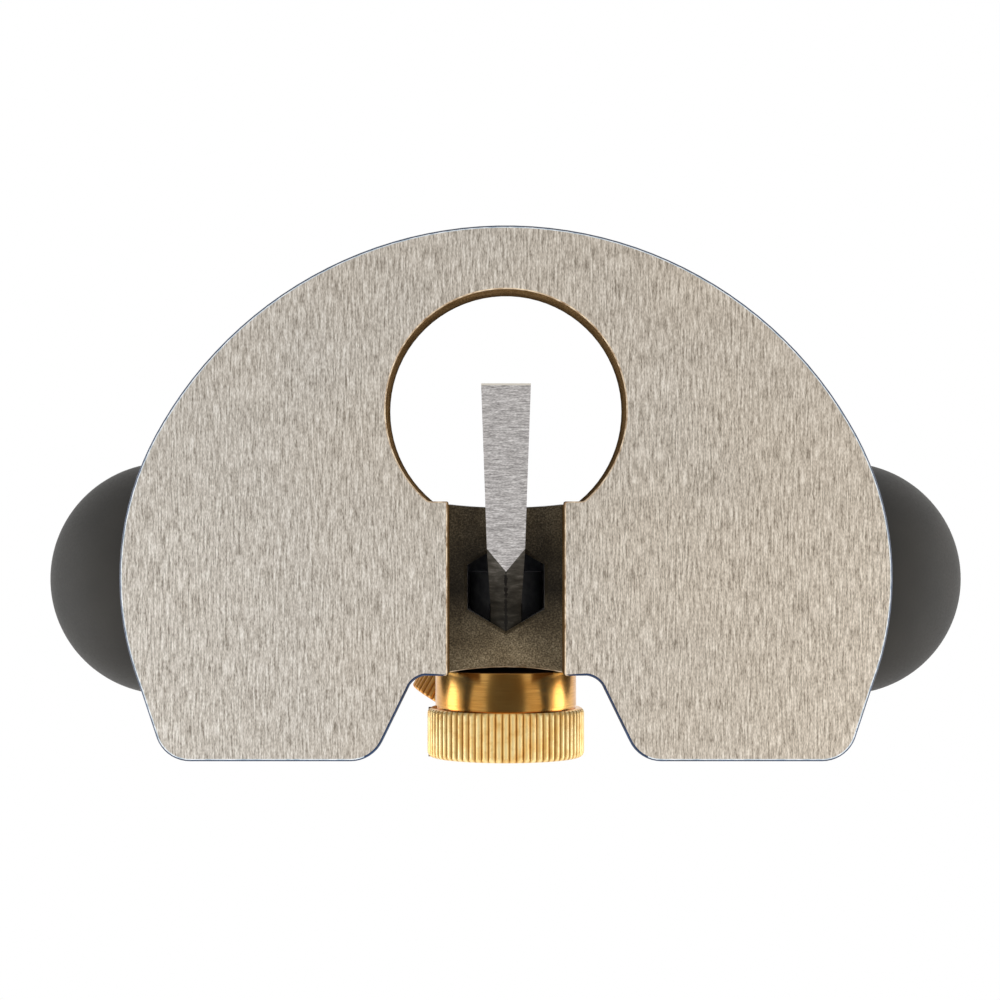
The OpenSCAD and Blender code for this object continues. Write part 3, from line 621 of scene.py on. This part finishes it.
def build_clamp_nut():
    """The clamp nut, with a crowned front, a smooth boss and a knurled flange that is hollow at its end."""
    knurls = 70
    boss_r, boss_len = 18.6, 9.9
    neck_r, neck_len = 18.2, 0.6
    flange_r, flange_end = 20.7, 23.0
    well_r, well_depth = 12.6, 2.0
    shape = lathe([(THREAD_BORE_R, -1.1), (8, -0.85), (11, -0.5), (13.5, -0.15), (15, 0), (boss_r, 0),
                   (boss_r, boss_len - neck_len), (neck_r, boss_len - neck_len), (neck_r, boss_len),
                   (flange_r, boss_len), (flange_r, flange_end), (well_r, flange_end),
                   (well_r, flange_end - well_depth), (THREAD_BORE_R, flange_end - well_depth)],
                  knurls * len(SINKS))
    round_rings(shape, 1.5, 5, boss_len, flange_end, 20.0)
    round_rings(shape, 0.12, 2, 0, 0, 18.0)
    round_rings(shape, 0.4, 2, flange_end, flange_end, 12.0)
    cut_knurls(shape, flange_r, 0.65, knurls)
    for face in shape.faces:
        centre = face.calc_center_median() / MM
        on_rim = centre.z > boss_len + 0.3 and centre.xy.length > boss_r + 0.4
        face.material_index = KNURLED if on_rim else TURNED
    piece = new_piece("brass_clamp_nut", shape, 40.0)
    backwards = Matrix.Rotation(math.radians(90), 4, "X")
    place(piece, Matrix.Translation((0, NUT_FRONT * MM, CLAMP_Z * MM)) @ backwards)
    dress(piece, "nut", "clamp_nut", "brass", turned_brass("brass turned about y", (150, 2600, 150)),
          knurl_brass("knurled brass", colour(248, 204, 124), colour(255, 231, 168)))


def knurled_wheel(name, radius, height, knurls, depth, rounding, recess=()):
    """A knurled wheel about Z on a threaded bore. A recess has an inner and an outer radius and a depth."""
    top = []
    if recess:
        inner, outer, sink = recess
        top = [(outer, height), (outer, height - sink), (inner, height - sink), (inner, height)]
    shape = lathe([(THREAD_BORE_R, 0), (radius, 0), (radius, height), *top, (THREAD_BORE_R, height)],
                  knurls * len(SINKS))
    round_rings(shape, rounding, 3, 0, height, radius - 0.1)
    cut_knurls(shape, radius, depth, knurls)
    return new_piece(name, shape, 40.0)


def on_stud(height):
    """The place on the depth stud at a height in millimetres."""
    return Matrix.Translation((0, STUD_Y * MM, height * MM))


def along_lock():
    """The lock screw's axis, from the shank outwards."""
    turn = Matrix.Rotation(math.radians(LOCK_TURN), 4, "Z") @ Matrix.Rotation(math.radians(90), 4, "X")
    return Matrix.Translation((0, SHANK_Y * MM, LOCK_Z * MM)) @ turn


def lock_head_shape():
    """The lock screw's head: a short neck and a knurled rim that is dished at its end."""
    knurls, start, end = 40, 22.7, 31.7
    neck_r, head_r, dish_r, dish_depth = 6.5, 11.5, 8.5, 0.8
    shape = lathe([(0, start - 2), (neck_r, start - 2), (neck_r, start), (head_r, start), (head_r, end),
                   (dish_r, end), (dish_r, end - dish_depth), (0, end - dish_depth)], knurls * len(SINKS))
    round_rings(shape, 0.8, 3, start, end, head_r - 0.1)
    round_rings(shape, 0.3, 2, end, end, dish_r - 0.1)
    cut_knurls(shape, head_r, 0.5, knurls)
    return shape


def build_small_brass():
    """The wheel, the stop nut and the cap on the depth stud, and the lock screw's head."""
    upright = turned_brass("brass turned about z", (150, 150, 2600))
    wheel = knurled_wheel("depth_wheel_brass", 13, 6.5, knurls=48, depth=0.5, rounding=0.7,
                          recess=(6.5, 10.5, 1.0))
    place(wheel, on_stud(WHEEL_Z))
    dress(wheel, "wheel", "depth_wheel", "brass", upright)
    stop = knurled_wheel("stop_nut_brass", 7, 4, knurls=28, depth=0.45, rounding=0.5)
    place(stop, on_stud(STOP_NUT_Z))
    dress(stop, "stop_nut", "depth_stop_nut", "brass", upright)
    cap_r, cap_h = 5.8, 4.5
    shape = lathe([(THREAD_BORE_R, 0), (cap_r, 0), (cap_r, cap_h), (THREAD_BORE_R, cap_h)], 64)
    round_rings(shape, 0.9, 4, cap_h, cap_h, 5.0)
    cap = new_piece("stud_cap_brass", shape)
    place(cap, on_stud(CAP_Z))
    dress(cap, "body", "stud_cap", "brass", upright)
    head = new_piece("lock_screw_head_brass", lock_head_shape(), 40.0)
    place(head, along_lock())
    # The lock screw's brass is darker and redder than the nut's: painted shade and a painted warm
    # reflection.
    dress(head, "lock_screw", "lock_screw_head", "brass",
          knurl_brass("lock screw brass, painted shade and warm reflection", colour(230, 156, 72), colour(246, 186, 104)))


# Knobs

def on_knob(side):
    """The place and the lean of the knob on one side."""
    lean = Matrix.Rotation(math.radians(side * KNOB_TILT), 4, "Y")
    centre = (side * KNOB_CENTRE[0] * MM, KNOB_CENTRE[1] * MM, KNOB_CENTRE[2] * MM)
    return Matrix.Translation(centre) @ lean


def knob_shape():
    """A ball with a flat base, bored through, and a well for the nut in its top."""
    radius, base, bore, well, floor = 32.0, 26.0, 4.3, 6.9, 22.0
    arc_steps = 56
    base_angle = math.asin(-base / radius)
    top_angle = math.acos(well / radius)
    well_top = radius * math.sin(top_angle)
    arc = [(radius * math.cos(a), radius * math.sin(a))
           for a in [base_angle + (top_angle - base_angle) * i / arc_steps for i in range(arc_steps + 1)]]
    shape = lathe([(bore, -base)] + arc + [(well, floor), (bore, floor)], 128)
    round_rings(shape, 0.8, 3, well_top, well_top, 6.0)
    round_rings(shape, 0.6, 3, -base, -base, 15.0)
    return shape


def build_knobs():
    """The two ball knobs."""
    satin = satin_knob()
    for side, node in ((1, "right_knob"), (-1, "left_knob")):
        piece = new_piece(node + "_ball", knob_shape(), 40.0)
        place(piece, on_knob(side))
        dress(piece, "body", node, "knob", satin)


# Steel

def softened(node, name, width, body, slot, finish):
    """A CAD node's own shape as a finished piece, its sharp edges rounded by a width in millimetres."""
    piece = new_piece(name, merged_shape(node))
    soften(piece, width)
    dress(piece, body, node, slot, finish)


def build_steel():
    """The threads, and the pieces that keep the CAD model's shape."""
    black = blackened_steel()
    bright = plain_steel()
    stud = new_piece("depth_stud_threaded", thread(radius=4.0, pitch=1.25, length=50.7), 60.0)
    place(stud, on_stud(STUD_FOOT_Z))
    dress(stud, "body", "depth_stud", "black_steel", black)
    softened("stud_jam_nut", "jam_nut", 0.25, "body", "black_steel", black)
    softened("clamp_eyebolt", "clamp_eye", 0.3, "eyebolt", "black_steel", black_oxide())
    softened("knob_studs", "knob_stud_ends", 0.3, "body", "black_steel", black)
    softened("knob_washers", "knob_washer_pair", 0.15, "body", "plain_steel", bright)
    softened("knob_nuts", "knob_nut_pair", 0.2, "body", "brass",
             turned_brass("brass of the knob nuts", (500, 500, 500)))
    shaft = new_piece("lock_screw_thread", thread(radius=3.0, pitch=1.0, length=21.6), 60.0)
    place(shaft, along_lock() @ Matrix.Translation((0, 0, LOCK_THREAD_START * MM)))
    dress(shaft, "lock_screw", "lock_screw_shaft", "black_steel", black)
    softened("lock_pad", "lock_screw_pad", 0.2, "pad", "soft_brass",
             turned_brass("soft brass", (800, 800, 800)))


# The stage

def build_world():
    """A white backdrop for the camera, a plain even light, and a simple room for the metal to mirror."""
    world = bpy.data.worlds.new("white studio")
    bpy.context.scene.world = world
    world.use_nodes = True
    tree = world.node_tree
    background = tree.nodes["Background"]
    rays = join(tree, "ShaderNodeLightPath").outputs
    mirrored = reckon(tree, "MAXIMUM", rays["Is Glossy Ray"], rays["Is Transmission Ray"])
    seen = reckon(tree, "MAXIMUM", rays["Is Camera Ray"], mirrored)
    tree.links.new(between(tree, seen, 0.0, 1.0, 0.5, 1.0), background.inputs["Strength"])
    # Polished metal mirrors white above and to its sides, grey below, and a dark patch straight below.
    way = join(tree, "ShaderNodeTexCoord").outputs["Generated"]
    rise = between(tree, join(tree, "ShaderNodeSeparateXYZ", {"Vector": way}).outputs["Z"], -1.0, 0.0)
    room = ramp(tree, rise, (0.13, grey(0.1)), (0.18, grey(0.62)), (0.62, grey(0.75)), (0.78, grey(1)))
    tree.links.new(blend(tree, rays["Is Glossy Ray"], grey(1), room), background.inputs["Color"])


def build_floor():
    """A pale floor, seen only from above: the camera of the photograph looks up through it."""
    bpy.ops.mesh.primitive_plane_add(size=8.0, location=(0, 0, -0.3 * MM))
    floor = bpy.context.object
    floor.name = "floor"
    finish, tree, surface = shader("pale floor", 0.0, Roughness=0.8)
    cloud = grain(tree, (6, 6, 6), 2.0)
    tree.links.new(ramp(tree, cloud, (0.3, colour(246, 246, 246)), (0.7, colour(250, 250, 250))),
                   surface.inputs["Base Color"])
    clear = join(tree, "ShaderNodeBsdfTransparent")
    side = join(tree, "ShaderNodeNewGeometry")
    both = join(tree, "ShaderNodeMixShader", {"Fac": side.outputs["Backfacing"], 1: surface.outputs["BSDF"],
                                              2: clear.outputs["BSDF"]})
    tree.links.new(both.outputs["Shader"], tree.nodes["Material Output"].inputs["Surface"])
    floor.data.materials.append(finish)
    floor.visible_diffuse = False
    floor.visible_glossy = False
    floor.visible_transmission = False
    floor.visible_shadow = False


def area_lamp(name, location, target, size, power, tint=(1, 1, 1), mirrored=False):
    """A rectangular lamp that the camera doesn't see, aimed at a target. Places and sizes are in metres."""
    light = bpy.data.lights.new(name, "AREA")
    light.shape = "RECTANGLE"
    light.size, light.size_y = size
    light.energy = power
    light.color = tint
    lamp = bpy.data.objects.new(name, light)
    lamp.location = location
    lamp.rotation_euler = (Vector(target) - Vector(location)).to_track_quat("-Z", "Y").to_euler()
    lamp.visible_camera = False
    lamp.visible_glossy = mirrored
    bpy.context.scene.collection.objects.link(lamp)


def build_lamps():
    """Two soft lamps below for the sole, two above, and a strip at each side that the metal mirrors."""
    origin = (0, 0, 0)
    centre = (0, 0, 0.03)
    warm = (1.0, 0.97, 0.93)
    area_lamp("soft lamp below left", (0.55, -0.3, -0.62), origin, (0.5, 0.6), 4.8)
    area_lamp("soft lamp below right", (-0.55, -0.3, -0.62), origin, (0.5, 0.6), 4.7, warm)
    area_lamp("soft lamp above", (0.35, -0.6, 0.95), centre, (0.6, 0.6), 9.0)
    area_lamp("soft lamp behind", (-0.6, 0.5, 0.7), centre, (0.5, 0.5), 5.0)
    area_lamp("side strip left", (0.75, -0.1, 0.12), centre, (0.9, 0.3), 2.0, mirrored=True)
    area_lamp("side strip right", (-0.75, -0.1, 0.12), centre, (0.9, 0.3), 2.0, mirrored=True)


def build_camera():
    """The camera of the photograph, which looks straight up."""
    lens = bpy.data.cameras.new("photograph")
    lens.sensor_width = 36.0
    lens.lens = LENS
    lens.clip_start = 0.01
    lens.clip_end = 20.0
    camera = bpy.data.objects.new("photograph", lens)
    camera.location = CAMERA_PLACE
    camera.rotation_euler = (0, math.pi, 0)
    bpy.context.scene.collection.objects.link(camera)
    bpy.context.scene.camera = camera
    bpy.context.scene.view_settings.view_transform = "Standard"


build_casting()
build_cutter()
build_clamp_nut()
build_small_brass()
build_knobs()
build_steel()
build_world()
build_floor()
build_lamps()
build_camera()
